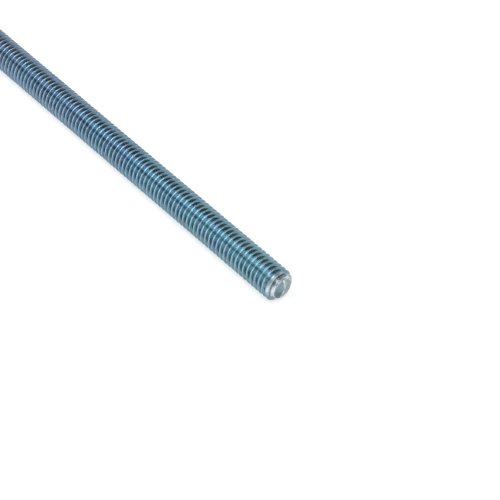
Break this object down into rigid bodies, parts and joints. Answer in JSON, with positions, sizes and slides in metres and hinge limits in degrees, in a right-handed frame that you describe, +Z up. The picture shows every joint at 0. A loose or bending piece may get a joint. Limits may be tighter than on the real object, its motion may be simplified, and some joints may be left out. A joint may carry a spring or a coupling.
{
  "type": "threaded rod",
  "caption": "Straight steel rod with a fine metric vee thread along its whole length and a bevelled flat end on each side, in bright blue-passivated zinc plating.",
  "frame": {"origin": "on the rod's axis, midway between its two end faces", "axes": "+X along the rod towards the end that the picture shows, +Z up"},
  "size_m": [0.3, 0.006, 0.006],
  "materials": {
    "zinc_plated_steel": "bright electroplated zinc with a blue passivation, glossy in the grooves and paler on the crests"
  },
  "bodies": {
    "root": {"threaded_rod": "zinc_plated_steel"}
  },
  "joints": []
}
